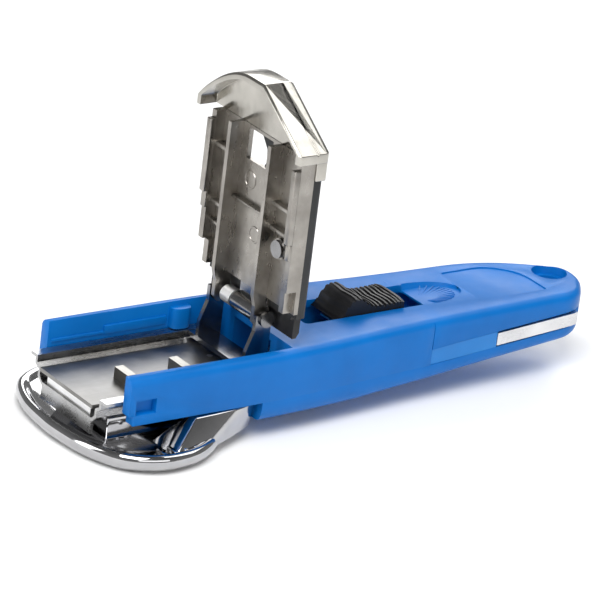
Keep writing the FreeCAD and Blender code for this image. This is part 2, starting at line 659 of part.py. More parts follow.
plate = new_body("cover_plate")
plate_half = minus(cover_half, "0.4")
pad(plate, "YZ", web_end, skin,
    [((neg(plate_half), plus(cover_low, "-1.5")), (minus(cover_far, "0.2"), plus(cover_low, "-1.5")),
      (minus(cover_far, "0.2"), minus(cover_top, "0.1")),
      (neg(minus(plate_half, "4")), minus(cover_top, "0.1")),
      (neg(minus(plate_half, "4")), minus(cover_top, "5.2")), (neg(plate_half), minus(cover_top, "5.2")))])
round_edges(plate, "1.2", lambda e: e.BoundBox.XMin > gauge.read(plus(web_end, skin)) - 0.01
            and e.BoundBox.ZLength > 20)
cut(plate, "YZ", minus(web_end, "1"), plus(skin, "2"),
    [(("1.6", minus(cover_top, "1.4")), ("-0.8", minus(cover_top, "4.2")),
        ("-1.2", minus(cover_top, "7.4")),
      ("0.6", minus(cover_top, "10.6")), ("5.4", minus(cover_top, "12")),
      ("10.2", minus(cover_top, "10.6")),
      ("12", minus(cover_top, "7.4")), ("11.6", minus(cover_top, "4.2")),
      ("9.2", minus(cover_top, "1.4")))])
cut(plate, "YZ", minus(web_end, "1"), plus("2.2", "1"), (), [(boss_y, boss_z, screw_radius)])

plate_screw = doc.addObject("Part::Cylinder", "plate_screw_shank")
plate_screw.setExpression("Radius", screw_radius)
plate_screw.setExpression("Height", plus(web_out, web_wall, "1.6", "2.1"))
plate_screw.Placement = FreeCAD.Placement(Vector(0, 0, 0), FreeCAD.Rotation(Vector(0, 1, 0), 90))
plate_screw.setExpression("Placement.Base.x", minus(hinge_x, "1.6"))
plate_screw.setExpression("Placement.Base.y", boss_y)
plate_screw.setExpression("Placement.Base.z", boss_z)
crown = rod("plate_screw_crown", "2.2", "0.9", (minus(hinge_x, "2.5"), boss_y, boss_z), "X")
plate_screw_all = join("plate_screw", "Part::MultiFuse", [crown, plate_screw])

cap = new_body("cover_end_cap")
cap_back = plus(hinge_x, pin_radius, "1.4")
pad(cap, "XZ", neg(minus(cover_far, "0.6")), plus(cover_far, cover_half, "-3"),
    [((cap_back, minus(hinge_z, "2.6")), (plus(cap_back, "1.1"), minus(hinge_z, "2.6")),
      (plus(web_end, "3"), minus(hinge_z, "1.2")), (plus(web_end, "3"), plus(cover_low, "-1.5")),
      (web_end, plus(cover_low, "-1.5")), (web_end, minus(cover_low, "2.4")),
      (cap_back, minus(cover_low, "2.4")))])

# ---------------------------------------------------------------- chrome guard foot
foot = new_body("guard_foot")
foot_front = neg(tail)
foot_outline = [
    (foot_front, "3"), (plus(foot_front, "0.5"), "9"), (plus(foot_front, "1.8"), "14.5"),
    (plus(foot_front, "4"), "20"), (plus(foot_front, "7.2"), "24.6"),
    (plus(foot_front, "11"), minus(foot_half, "1.4")),
    (plus(foot_front, "15.4"), minus(foot_half, "0.1")), (plus(foot_front, "20"), foot_half),
    (plus(foot_front, "25"), minus(foot_half, "1.2")), (plus(foot_front, "30"), minus(foot_half, "4")),
    (plus(foot_front, "37"), minus(foot_half, "8.6")), (plus(foot_front, foot_length, "-6"), "14.2"),
    (plus(foot_front, foot_length), "10.5")]
pad(foot, "XY", "0", foot_thick, [mirror_loop(foot_outline)])
round_edges(foot, "2.2", lambda e: e.BoundBox.ZMax < 0.01)

dish_part = [(plus(foot_front, foot_rim), "3")]
for a, b in foot_outline[1:-2]:
    share = "(%s / %s)" % (foot_rim, foot_half)
    dish_part.append(("(%s - (%s - %s - 22) * %s)" % (a, a, foot_front, share), "(%s * (1 - %s))" % (b,
        share)))
dish_part.append((plus(foot_front, foot_length, "-9"), "12"))
cut(foot, "XY", minus(foot_thick, foot_dish), plus(foot_dish, "1"), [mirror_loop(dish_part)])
seat_x = plus(foot_front, "10")
seat_end = minus(shell_nose, "0.6")
pad(foot, "XY", minus(foot_thick, foot_dish, "0.4"), minus(channel_low, foot_thick, "-1.6"),
    [box(seat_x, seat_end, neg(foot_seat), foot_seat)])
ear_far = minus(half_head, "0.6")
ear_near = minus(half_head, "2.8")
for side in ("1", "-1"):
    pad(foot, "XY", minus(foot_thick, foot_dish, "0.4"), minus(split, foot_thick, "-1.5"),
        [(("(%s - 15)" % seat_end, "(%s * %s)" % (side, ear_far)),
            ("(%s - 0.2)" % seat_end, "(%s * %s)" % (side, ear_far)),
          ("(%s - 0.2)" % seat_end, "(%s * %s)" % (side, ear_near)),
          ("(%s - 12)" % seat_end, "(%s * %s)" % (side, ear_near)))])
for spot in foot_spots:
    cut(foot, "XY", "-1", plus(channel_low, "3"), (), [(spot, "0", plus(screw_radius, run_gap))])
    cut(foot, "XY", "-1", plus(head_height, "1.6"), (), [(spot, "0", plus(head_radius, run_gap))])
foot_screws = bundle("foot_screws", [
    fastener("foot_screw_%d" % i, sx, "0", "0.5", minus(plus(runner_low, runner_tall), "1.4"),
             screw_radius, head_radius, head_height)
    for i, sx in enumerate(foot_spots)])

doc.recompute()

# ---------------------------------------------------------------- check and write
nodes = [upper_shell, lower, insert, splitter, channel, runner, tray, tray_lugs, link, link_rivets,
    thumb, stem,
         detent, bracket, bracket_tabs, hinge_pin, hinge_spring, cover, hinge_sleeve, nose, plate,
         plate_screw_all, cap, foot, foot_screws, shell_screws]
for item in doc.Objects:
    if "Invalid" in item.State or "Error" in item.State:
        raise RuntimeError("failed object " + item.Label + str(item.State))
for node in nodes:
    if node.Shape.isNull() or not node.Shape.isValid():
        raise RuntimeError("bad shape " + node.Label)
for node in nodes:
    node.Shape.exportStep("parts/%s.step" % node.Label)
    bb = node.Shape.BoundBox
    print(node.Label, len(node.Shape.Solids), round(node.Shape.Volume, 1),
          [round(v, 2) for v in (bb.XMin, bb.XMax, bb.YMin, bb.YMax, bb.ZMin, bb.ZMax)])
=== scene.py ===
import json
import math
import bmesh
import bpy
from mathutils import Matrix, Vector


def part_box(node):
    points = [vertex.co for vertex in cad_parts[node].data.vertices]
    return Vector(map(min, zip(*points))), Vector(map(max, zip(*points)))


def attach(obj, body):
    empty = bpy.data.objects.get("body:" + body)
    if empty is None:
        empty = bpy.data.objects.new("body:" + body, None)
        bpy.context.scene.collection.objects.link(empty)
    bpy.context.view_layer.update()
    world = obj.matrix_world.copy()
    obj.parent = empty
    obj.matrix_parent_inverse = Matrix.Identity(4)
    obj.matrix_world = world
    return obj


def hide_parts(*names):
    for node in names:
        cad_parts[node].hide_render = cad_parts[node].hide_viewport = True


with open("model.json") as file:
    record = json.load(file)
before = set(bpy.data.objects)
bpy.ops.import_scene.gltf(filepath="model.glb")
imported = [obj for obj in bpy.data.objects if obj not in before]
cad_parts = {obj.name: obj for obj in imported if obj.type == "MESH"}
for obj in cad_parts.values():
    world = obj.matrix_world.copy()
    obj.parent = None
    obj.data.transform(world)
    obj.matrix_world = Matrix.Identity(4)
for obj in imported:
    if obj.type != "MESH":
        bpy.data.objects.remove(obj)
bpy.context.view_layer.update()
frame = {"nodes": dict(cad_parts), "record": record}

# Upper shell of the handle: one blue moulding with the two long rails of the blade bay,
# the thumb slot, the label panel and the hanging hole. It screws down on the lower shell.
MM = 0.001
shell_low, shell_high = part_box("upper_shell")
rail_front, tail_end = shell_low.x, shell_high.x
shell_split, deck = shell_low.z, shell_high.z
bay_end = rail_front + 48 * MM
half_head, half_mid, half_tail = shell_high.y, 15.6 * MM, 14.0 * MM
split_lift = 3.6 * MM
seam_x = bay_end + (tail_end - bay_end) * 0.45
deck_round = 2.2 * MM
rail_wall = 3 * MM
hole_radius = 3.4 * MM
past_tail = 2 * MM  # the split line keeps rising to this far behind the tail
clear = 5 * MM  # how far a cutter reaches past the moulding


def split_at(x):
    """Height of the line between the two shells; it rises from the seam to the tail."""
    return shell_split + split_lift * max(0.0, (x - seam_x) / (tail_end + past_tail - seam_x))


def rounded_outline(corners, steps=7):
    """A closed outline whose corners are rounded; each corner is x, y and how far it is cut back."""
    loop = []
    count = len(corners)
    for i, (x, y, cutback) in enumerate(corners):
        here = Vector((x, y))
        before = Vector(corners[i - 1][:2])
        after = Vector(corners[(i + 1) % count][:2])
        start = here + (before - here).normalized() * cutback
        finish = here + (after - here).normalized() * cutback
        for k in range(steps + 1):
            t = k / steps
            loop.append(start.lerp(here, t).lerp(here.lerp(finish, t), t))
    return loop


def inset_outline(loop, distance):
    """The same outline moved inwards, for a counter-clockwise loop."""
    moved = []
    count = len(loop)
    for i, spot in enumerate(loop):
        along = (loop[(i + 1) % count] - loop[i - 1]).normalized()
        moved.append(spot + Vector((-along.y, along.x)) * distance)
    return moved


def add_mesh(name, build, body, sharp=32):
    """Fills a new mesh with build(bm), shades it and lets it ride on a body."""
    bm = bmesh.new()
    build(bm)
    bmesh.ops.remove_doubles(bm, verts=bm.verts, dist=1e-7)
    bmesh.ops.recalc_face_normals(bm, faces=bm.faces)
    mesh = bpy.data.meshes.new(name)
    bm.to_mesh(mesh)
    bm.free()
    mesh.shade_smooth()
    mesh.set_sharp_from_angle(angle=math.radians(sharp))
    obj = bpy.data.objects.new(name, mesh)
    bpy.context.scene.collection.objects.link(obj)
    if body:
        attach(obj, body)
    return obj


def loft(bm, loops):
    """Skins closed loops of equal count and caps both ends."""
    rings = [[bm.verts.new(spot) for spot in loop] for loop in loops]
    for lower, upper in zip(rings, rings[1:]):
        count = len(lower)
        for i in range(count):
            j = (i + 1) % count
            bm.faces.new((lower[i], lower[j], upper[j], upper[i]))
    bm.faces.new(list(reversed(rings[0])))
    bm.faces.new(rings[-1])


def block(bm, low, high):
    """A plain block between two corners, used as a cutter or as the start of a rounded part."""
    low, high = Vector(low), Vector(high)
    for v in bmesh.ops.create_cube(bm, size=1.0)["verts"]:
        v.co = Vector(((low.x + high.x) / 2 + v.co.x * (high.x - low.x),
                       (low.y + high.y) / 2 + v.co.y * (high.y - low.y),
                       (low.z + high.z) / 2 + v.co.z * (high.z - low.z)))


def prism(bm, outline, low, high, place):
    """An outline pushed from low to high; place(a, b, c) turns its numbers into a point."""
    loft(bm, [[place(a, b, low) for a, b in outline], [place(a, b, high) for a, b in outline]])


def upright(a, b, c):
    return Vector((a, b, c))


def carve(obj, cutter):
    """Cuts the cutter's shape out of obj for good."""
    change = obj.modifiers.new("carve", "BOOLEAN")
    change.operation = "DIFFERENCE"
    change.solver = "EXACT"
    change.object = cutter
    settle(obj)
    bpy.data.objects.remove(cutter)


def settle(obj, sharp=32):
    """Applies every modifier on obj and marks its sharp edges again."""
    graph = bpy.context.evaluated_depsgraph_get()
    done = bpy.data.meshes.new_from_object(obj.evaluated_get(graph))
    obj.modifiers.clear()
    obj.data = done
    done.shade_smooth()
    done.set_sharp_from_angle(angle=math.radians(sharp))


def soften(obj, width, segments=2, angle=35, apply=True):
    """Breaks the edges the way a mould or a tumbling barrel does."""
    edge = obj.modifiers.new("edge", "BEVEL")
    edge.width = width
    edge.segments = segments
    edge.limit_method = "ANGLE"
    edge.angle_limit = math.radians(angle)
    edge.use_clamp_overlap = True
    edge.harden_normals = False
    if apply:
        settle(obj, sharp=50)


def round_cutter(bm, x, y, low, high, radius, count=48):
    """An upright drill of count sides."""
    ring = [Vector((x + radius * math.cos(2 * math.pi * i / count),
                    y + radius * math.sin(2 * math.pi * i / count))) for i in range(count)]
    prism(bm, ring, low, high, upright)


rough_front = rail_front - 12 * MM
handle_corners = [
    (rough_front, -half_head, 6 * MM), (bay_end, -half_head, 18 * MM),
    (seam_x, -half_mid, 18 * MM), (tail_end - 6.5 * MM, -half_tail + 0.2 * MM, 5 * MM),
    (tail_end, -5 * MM, 3.5 * MM), (tail_end, 2.5 * MM, 3.5 * MM),
    (tail_end - 19 * MM, half_tail, 12 * MM), (seam_x, half_mid, 14 * MM),
    (bay_end, half_head, 18 * MM), (rough_front, half_head, 6 * MM)]
handle_line = rounded_outline(handle_corners)


def shell_loops(bm):
    loops = [[Vector((p.x, p.y, split_at(p.x))) for p in handle_line]]
    for k in range(7):
        turn = math.radians(15 * k)
        inward = deck_round * (1 - math.cos(turn))
        rise = deck - deck_round + deck_round * math.sin(turn)
        loops.append([Vector((p.x, p.y, rise)) for p in inset_outline(handle_line, inward)])
    loft(bm, loops)


upper = add_mesh("blue_upper_shell", shell_loops, None)

slot_low_x, slot_high_x = rail_front + 59.6 * MM, rail_front + 97.6 * MM
slot_half = 6.2 * MM
hole_x = tail_end - 6.6 * MM


def front_trim(bm):
    block(bm, (rough_front - clear, -half_head - clear, shell_split - clear),
          (rail_front, half_head + clear, deck + clear))


def bay_cut(bm):
    """The blade bay between the rails; its end is a hair deeper so that the tray clears it."""
    inner, tray_gap = half_head - rail_wall, 0.25 * MM
    block(bm, (rail_front - clear, -inner, shell_split - clear),
          (bay_end + tray_gap, inner, deck + clear))


def cavity_cut(bm):
    """The room under the slot in which the stem and the bar run."""
    half, roof = slot_half + 1.6 * MM, deck - 2 * MM
    block(bm, (bay_end - 1 * MM, -half, shell_split - 2 * MM), (slot_high_x + 4 * MM, half, roof))


def slot_cut(bm):
    half, corner = slot_half, 1.4 * MM
    outline = rounded_outline([(slot_low_x, -half, corner), (slot_high_x, -half, corner),
                               (slot_high_x, half, corner), (slot_low_x, half, corner)])
    prism(bm, outline, deck - 4 * MM, deck + 2 * MM, upright)


def dish_cut(bm):
    """The thumb dish behind the slot is a half oval that gets deeper towards the slot."""
    long_half, short_half = 12.6 * MM, 6.9 * MM
    outline = [Vector((slot_high_x - 0.3 * MM, -6.6 * MM))]
    for i in range(25):
        turn = math.radians(-90 + 7.5 * i)
        outline.append(Vector((slot_high_x + 0.6 * MM + long_half * math.cos(turn),
                               short_half * math.sin(turn))))
    outline.append(Vector((slot_high_x - 0.3 * MM, 6.6 * MM)))
    low = [Vector((p.x, p.y * 0.86, deck - 1.5 * MM + (p.x - slot_high_x) * 0.06)) for p in outline]
    high = [Vector((p.x, p.y, deck + 0.6 * MM)) for p in outline]
    loft(bm, [low, high])


def panel_cut(bm):
    """A shallow plain panel between the dish and the hole, with one corner cut off."""
    start, finish, half = slot_high_x + 14 * MM, hole_x - 7.5 * MM, 9.0 * MM
    corner, depth = 1.2 * MM, 0.35 * MM
    outline = rounded_outline([(start, -half, corner), (finish, -half, corner),
                               (finish, half - 6 * MM, 5 * MM), (finish - 7 * MM, half, 4 * MM),
                               (start, half, corner)])
    prism(bm, outline, deck - depth, deck + 2 * MM, upright)


def hanging_hole_cut(bm):
    round_cutter(bm, hole_x, 0, shell_split - 3 * MM, deck + 3 * MM, hole_radius)


def counterbore_cut(bm):
    depth, radius = 2.4 * MM, 4.6 * MM
    round_cutter(bm, hole_x, 0, deck - depth, deck + 3 * MM, radius)


def groove_cut(bm):
    """The side groove follows the rising split line."""
    loops, height, outer = [], 4.2 * MM, -24 * MM
    for x, inner in ((seam_x, -half_mid + 1.8 * MM), (tail_end - 7 * MM, -11.7 * MM),
                     (tail_end + past_tail, -11.6 * MM)):
        low, top = split_at(x) - 1 * MM, split_at(x) + height
        loops.append([Vector((x, y, z)) for y, z in
                      ((inner, low), (inner, top), (outer, top), (outer, low))])
    loft(bm, loops)


def window_cut(bm):
    """The window near the front end of the near rail."""
    block(bm, (rail_front + 1.8 * MM, -half_head - 1 * MM, shell_split + 2.6 * MM),
          (rail_front + 7.6 * MM, -half_head + 2.0 * MM, shell_split + 6.4 * MM))


def tongue_cut(bm):
    """The step under the front ends of both rails."""
    block(bm, (rail_front - 1 * MM, -half_head - 1 * MM, shell_split - 1 * MM),
          (rail_front + 1.3 * MM, half_head + 1 * MM, shell_split + 2.6 * MM))


def seam_cut(bm):
    """A fine line down the near flank, from the deck to the groove."""
    half, depth = 0.12 * MM, 0.28 * MM
    block(bm, (seam_x - half, -half_head - 1 * MM, shell_split + 4.2 * MM),
          (seam_x + half, -half_mid + depth, deck + 1 * MM))


for cutter in (front_trim, bay_cut, cavity_cut, slot_cut, dish_cut, panel_cut, hanging_hole_cut,
               counterbore_cut, groove_cut, window_cut, tongue_cut, seam_cut):
    carve(upper, add_mesh("cutter", cutter, None))
soften(upper, 0.22 * MM, segments=2)
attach(upper, "grip")
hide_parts("upper_shell")


def new_material(name):
    """An empty node material with its shader and its object-space coordinates in millimetres."""
    material = bpy.data.materials.new(name)
    material.use_nodes = True
    nodes, links = material.node_tree.nodes, material.node_tree.links
    shader = nodes["Principled BSDF"]
    place = nodes.new("ShaderNodeTexCoord")
    scale = nodes.new("ShaderNodeMapping")
    scale.inputs["Scale"].default_value = (1000, 1000, 1000)
    links.new(place.outputs["Object"], scale.inputs["Vector"])
    return material, nodes, links, shader, scale.outputs["Vector"]


def speckle(nodes, links, place, grain, detail, stretch=(1, 1, 1)):
    """Noise with grains of about that many millimetres, stretched along an axis if asked."""
    noise = nodes.new("ShaderNodeTexNoise")
    noise.inputs["Scale"].default_value = 1.0 / grain
    noise.inputs["Detail"].default_value = detail
    if stretch != (1, 1, 1):
        pull = nodes.new("ShaderNodeMapping")
        pull.inputs["Scale"].default_value = stretch
        links.new(place, pull.inputs["Vector"])
        place = pull.outputs["Vector"]
    links.new(place, noise.inputs["Vector"])
    return noise.outputs["Fac"]


def spread(nodes, links, value, low, high, from_low=0.3, from_high=0.7):
    """Maps a value to a range."""
    ramp = nodes.new("ShaderNodeMapRange")
    ramp.inputs["From Min"].default_value = from_low
    ramp.inputs["From Max"].default_value = from_high
    ramp.inputs["To Min"].default_value = low
    ramp.inputs["To Max"].default_value = high
    links.new(value, ramp.inputs["Value"])
    return ramp.outputs["Result"]


def tint(nodes, links, value, dark, light):
    """Blends two colours by a value."""
    blend = nodes.new("ShaderNodeMix")
    blend.data_type = "RGBA"
    links.new(value, blend.inputs["Factor"])
    blend.inputs["A"].default_value = (*dark, 1)
    blend.inputs["B"].default_value = (*light, 1)
    return blend.outputs["Result"]


def relief(nodes, links, shader, height, depth_mm, strength):
    """A bump of that real depth."""
    bump = nodes.new("ShaderNodeBump")
    bump.inputs["Strength"].default_value = strength
    bump.inputs["Distance"].default_value = depth_mm * MM
    links.new(height, bump.inputs["Height"])
    links.new(bump.outputs["Normal"], shader.inputs["Normal"])


def moulded_plastic(name, dark, light, rough_low, rough_high, texture_depth, sheen):
    """Moulded plastic: spark-eroded fine texture, faint flow marks in the colour, handled patches."""
    material, nodes, links, shader, place = new_material(name)
    flow = spread(nodes, links, speckle(nodes, links, place, 14, 4), 0, 1, 0.35, 0.65)
    links.new(tint(nodes, links, flow, dark, light), shader.inputs["Base Color"])
    handled = speckle(nodes, links, place, 5, 5)
    links.new(spread(nodes, links, handled, rough_low, rough_high), shader.inputs["Roughness"])
    shader.inputs["Specular IOR Level"].default_value = sheen
    relief(nodes, links, shader, speckle(nodes, links, place, 0.16, 2), texture_depth, 0.6)
    return material


blue_plastic = moulded_plastic(
    "blue_plastic", (0.0, 0.135, 0.47), (0.0, 0.155, 0.53), 0.34, 0.46, 0.012, 0.22)


def dress(obj, material):
    """Gives a mesh of this file its one finish."""
    obj.data.materials.clear()
    obj.data.materials.append(material)


def dress_node(node, material, edge=0.0):
    """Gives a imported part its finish, and a broken edge if asked."""
    part = frame["nodes"][node]
    for place in part.material_slots:
        place.material = material
    if not part.material_slots:
        part.data.materials.append(material)
    if edge:
        soften(part, edge, segments=2, angle=38, apply=False)


dress(upper, blue_plastic)

# Inside the bay the rails carry thin stiffening steps, and the far rail a round-cornered boss.
# Both belong to the blue moulding of the upper shell and are drawn as meshes of their own.


def bay_boss_shape(bm):
    front, rear, inner, outer = bay_end - 13 * MM, bay_end - 7.5 * MM, 14.4 * MM, 17.4 * MM
    line = rounded_outline([(front, inner, 2.2 * MM), (rear, inner, 2.2 * MM),
                            (rear, outer, 0.2 * MM), (front, outer, 0.2 * MM)])
    prism(bm, line, shell_split + 5.4 * MM, deck - 1.2 * MM, upright)


def rail_steps(bm):
    """Thin stiffening steps run along the inside of both rails."""
    for side in (-1, 1):
        for start, low, high, proud in ((1.0, 6.4, 7.2, 0.35), (16.0, 6.4, 8.6, 0.55)):
            a, b = sorted((side * 17.1 * MM, side * (17.0 - proud) * MM))
            block(bm, (rail_front + start * MM, a, shell_split + low * MM),
                  (bay_end - 14 * MM, b, shell_split + high * MM))


steps = add_mesh("rail_steps", rail_steps, "grip")
soften(steps, 0.12 * MM)
dress(steps, blue_plastic)
bay_boss = add_mesh("bay_boss", bay_boss_shape, "grip")
soften(bay_boss, 0.7 * MM, segments=3)
dress(bay_boss, blue_plastic)

# Fine ribs fan out in the thumb dish, and short position marks stand beside the slot.
# All are part of the same blue moulding.


def dish_ribs(bm):
    for i in range(13):
        turn = math.radians(-66 + 11 * i)
        out = Vector((math.cos(turn), math.sin(turn) * 0.55, 0))
        side = Vector((-out.y, out.x, 0)).normalized() * 0.12 * MM
        start = Vector((slot_high_x + 0.9 * MM, 0, deck - 1.45 * MM)) + out * 3.6 * MM
        finish = Vector((slot_high_x + 0.9 * MM, 0, deck - 0.75 * MM)) + out * 10.6 * MM
        lift = Vector((0, 0, 0.14 * MM))
        low = [start - side, finish - side, finish + side, start + side]
        high = [p.lerp((start + finish) / 2, 0.05) + lift for p in low]
        loft(bm, [[p - lift for p in low], high])


def position_marks(bm):
    wide, long, corner = 0.25 * MM, 1.1 * MM, 0.1 * MM
    for x, y in ((slot_low_x + 4 * MM, 9.6 * MM), (slot_low_x + 16 * MM, 9.4 * MM),
                 (slot_high_x - 3 * MM, 9.0 * MM)):
        line = rounded_outline([(x - wide, y - long, corner), (x + wide, y - long, corner),
                                (x + wide, y + long, corner), (x - wide, y + long, corner)], 2)
        prism(bm, line, deck - 0.1 * MM, deck + 0.02 * MM, upright)


ribs = add_mesh("dish_ribs", dish_ribs, "grip")
marks = add_mesh("position_marks", position_marks, "grip")
for piece in (ribs, marks):
    dress(piece, blue_plastic)

# Lower shell: the blue belly of the handle, lifting towards the tail and rounded along its edge.
# It is the second moulding, seats the steel channel in its front, and takes the screws from below.
belly_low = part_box("lower_shell")[0]
ramp_length, ramp_lift, tail_lift = 22 * MM, 1.0 * MM, 3.8 * MM
lift_end = tail_end - 6 * MM


def belly_rise(x):
    """Height of the belly: level in front, a short ramp up to the seam, then a steady rise."""
    if x < seam_x:
        return belly_low.z + ramp_lift * max(0.0, 1 - (seam_x - x) / ramp_length)
    return belly_low.z + ramp_lift + tail_lift * (x - seam_x) / (lift_end - seam_x)


def belly_loops(bm):
    """The belly is first lofted level, then cut, and lifted to its rising lines at the end."""
    loops, edge_round = [], 2.0 * MM
    for k in range(6):
        turn = math.radians(90 - 18 * k)
        rise = belly_low.z + (shell_split - belly_low.z) * 0.75 * (1 - math.sin(turn))
        inward = edge_round * (1 - math.cos(turn))
        loops.append([Vector((p.x, p.y, rise)) for p in inset_outline(handle_line, inward)])
    loops.append([Vector((p.x, p.y, shell_split)) for p in handle_line])
    loft(bm, loops)


def lift_belly(obj):
    """Bends the level shell so that its belly and its top follow their rising lines."""
    bm = bmesh.new()
    bm.from_mesh(obj.data)
    for x in (seam_x - ramp_length, seam_x, lift_end):
        bmesh.ops.bisect_plane(bm, geom=bm.verts[:] + bm.edges[:] + bm.faces[:],
                               plane_co=(x, 0, 0), plane_no=(1, 0, 0))
    for v in bm.verts:
        share = (v.co.z - belly_low.z) / (shell_split - belly_low.z)
        v.co.z = belly_rise(v.co.x) + share * (split_at(v.co.x) - belly_rise(v.co.x))
    bm.to_mesh(obj.data)
    bm.free()
    settle(obj)


lower = add_mesh("blue_lower_shell", belly_loops, None)


def belly_trim(bm):
    block(bm, (rough_front - clear, -half_head - clear, -clear),
          (belly_low.x, half_head + clear, 30 * MM))


def channel_seat_cut(bm):
    half, floor_level = 17.0 * MM, 8.25 * MM
    block(bm, (belly_low.x - 3 * MM, -half, floor_level), (bay_end - 1.2 * MM, half, 15 * MM))


def lower_hole_cut(bm):
    round_cutter(bm, hole_x, 0, 0, 14 * MM, hole_radius)


def screw_wells_cut(bm):
    """A round well for the head of each shell screw; the one under the tail sits higher."""
    head, radius, heads_from = 1.85 * MM, 2.75 * MM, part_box("shell_screws")[0].z
    for x, y, lift in ((bay_end + 8 * MM, 12.5 * MM, 0), (bay_end + 8 * MM, -12.5 * MM, 0),
                       (hole_x - 20 * MM, 0, 0.75 * MM)):
        round_cutter(bm, x, y, 0, heads_from + lift + head, radius, 32)


for cutter in (belly_trim, channel_seat_cut, lower_hole_cut, screw_wells_cut):
    carve(lower, add_mesh("cutter", cutter, None))
lift_belly(lower)
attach(lower, "grip")
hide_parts("lower_shell")
dress(lower, blue_plastic)

# Tinted plastic insert and the steel tape splitter, end to end in the groove of the near flank.
# Both are held between the two shells along the split line.
pale_plastic = moulded_plastic(
    "pale_blue_plastic", (0.004, 0.175, 0.54), (0.008, 0.205, 0.60), 0.34, 0.46, 0.01, 0.45)
dress_node("side_insert", pale_plastic, 0.15 * MM)


def drawn_metal(name, dark, light, rough_low, rough_high, stretch, grain=0.35, depth=0.004):
    """Metal with drawn or brushed lines: the noise is pulled out along the direction of the brush."""
    material, nodes, links, shader, place = new_material(name)
    lines = speckle(nodes, links, place, grain, 4, stretch)
    cloud = speckle(nodes, links, place, 9, 4)
    links.new(tint(nodes, links, spread(nodes, links, cloud, 0, 1), dark, light),
              shader.inputs["Base Color"])
    shader.inputs["Metallic"].default_value = 1.0
    mixed = nodes.new("ShaderNodeMath")
    mixed.operation = "MULTIPLY_ADD"
    links.new(lines, mixed.inputs[0])
    mixed.inputs[1].default_value = 0.6
    links.new(cloud, mixed.inputs[2])
    links.new(spread(nodes, links, mixed.outputs["Value"], rough_low, rough_high, 0.5, 1.1),
              shader.inputs["Roughness"])
    relief(nodes, links, shader, lines, depth, 0.7)
    return material


splitter_steel = drawn_metal(
    "splitter_steel", (0.62, 0.62, 0.63), (0.80, 0.80, 0.81), 0.22, 0.38, (0.06, 1, 1))
dress_node("tape_splitter", splitter_steel, 0.2 * MM)

# Pressed steel channel that lines the blade bay, with the runner plate that carries the tray.
# The channel lies in the seat of the lower shell, and its front edge is folded down.
channel_steel = drawn_metal(
    "channel_steel", (0.36, 0.36, 0.36), (0.54, 0.54, 0.54), 0.20, 0.36, (0.05, 1, 1))
dress_node("steel_channel", channel_steel, 0.18 * MM)
bright_steel = drawn_metal(
    "bright_steel", (0.70, 0.70, 0.70), (0.85, 0.85, 0.85), 0.25, 0.4, (1, 0.06, 1))
dress_node("tray_runner", bright_steel, 0.2 * MM)

# Sliding blade tray: a brushed steel plate with two pressed-in lugs that locate a blade.
# A bar riveted to it runs back to the slider, and a leaf spring holds the chosen place.
tray_steel = drawn_metal(
    "tray_steel", (0.18, 0.175, 0.165), (0.30, 0.295, 0.285), 0.28, 0.46, (0.08, 1, 1), 0.4, 0.006)
dress_node("blade_tray", tray_steel, 0.15 * MM)
lug_steel = drawn_metal(
    "lug_steel", (0.28, 0.27, 0.25), (0.40, 0.39, 0.36), 0.26, 0.42, (1, 0.1, 1), 0.3, 0.006)
dress_node("tray_lugs", lug_steel, 0.35 * MM)
dress_node("link_bar", channel_steel, 0.1 * MM)
dress_node("link_rivets", bright_steel)
dress_node("detent_spring", bright_steel)

# Thumb slider: black plastic with a raised hump at the front and cross ribs for the thumb.
# It is one moulding whose stem goes down through the slot to the bar.
black_plastic = moulded_plastic(
    "black_plastic", (0.008, 0.008, 0.009), (0.016, 0.016, 0.018), 0.36, 0.52, 0.015, 0.4)
slider_low, slider_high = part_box("thumb_slider")


def slider_side(t):
    """Height of the slider's back along its length, 0 at the front."""
    hump = math.exp(-((t - 0.24) / 0.17) ** 2)
    tail = 1.5 * MM + 0.5 * MM * t
    return deck + tail * min(1, t * 12) + hump * (slider_high.z - deck - 1.6 * MM) * min(1, t * 8)


def slider_mesh(bm):
    """Rows of points across the slider, from its front to its rear."""
    count, span = 121, slider_high.x - slider_low.x
    half = (slider_high.y - slider_low.y) / 2
    rib_height, rib_pitch_mm, crown_share = 0.26 * MM, 1.35, 0.98
    rings = []
    for i in range(count):
        t = i / (count - 1)
        x = slider_low.x + span * t
        top = slider_side(t)
        rib = 0
        if 0.03 < t < 0.97:
            rib = rib_height * (1 if math.sin(t * span / MM * 2 * math.pi / rib_pitch_mm) > 0 else -1)
        top = min(top + rib, slider_high.z)
        crown = []
        for k in range(9):
            across = -1 + 2 * k / 8
            bow = 1.5 * MM * abs(across) * 0.6 if t < 0.9 else 0.0
            drop = 0.55 * MM * across ** 4
            along = min(max(x + bow, slider_low.x), slider_high.x)
            crown.append(Vector((along, half * across * crown_share, top - drop)))
        rings.append([Vector((x, -half, slider_low.z))] + crown + [Vector((x, half, slider_low.z))])
    for a, b in zip(rings, rings[1:]):
        va, vb = [bm.verts.new(p) for p in a], [bm.verts.new(p) for p in b]
        n = len(va)
        for i in range(n):
            j = (i + 1) % n
            bm.faces.new((va[i], va[j], vb[j], vb[i]))
    bmesh.ops.remove_doubles(bm, verts=bm.verts, dist=1e-8)
    bmesh.ops.holes_fill(bm, edges=[e for e in bm.edges if e.is_boundary])


slider = add_mesh("ribbed_slider", slider_mesh, "carriage", sharp=40)
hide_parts("thumb_slider")
dress(slider, black_plastic)
dress_node("slider_stem", black_plastic, 0.3 * MM)

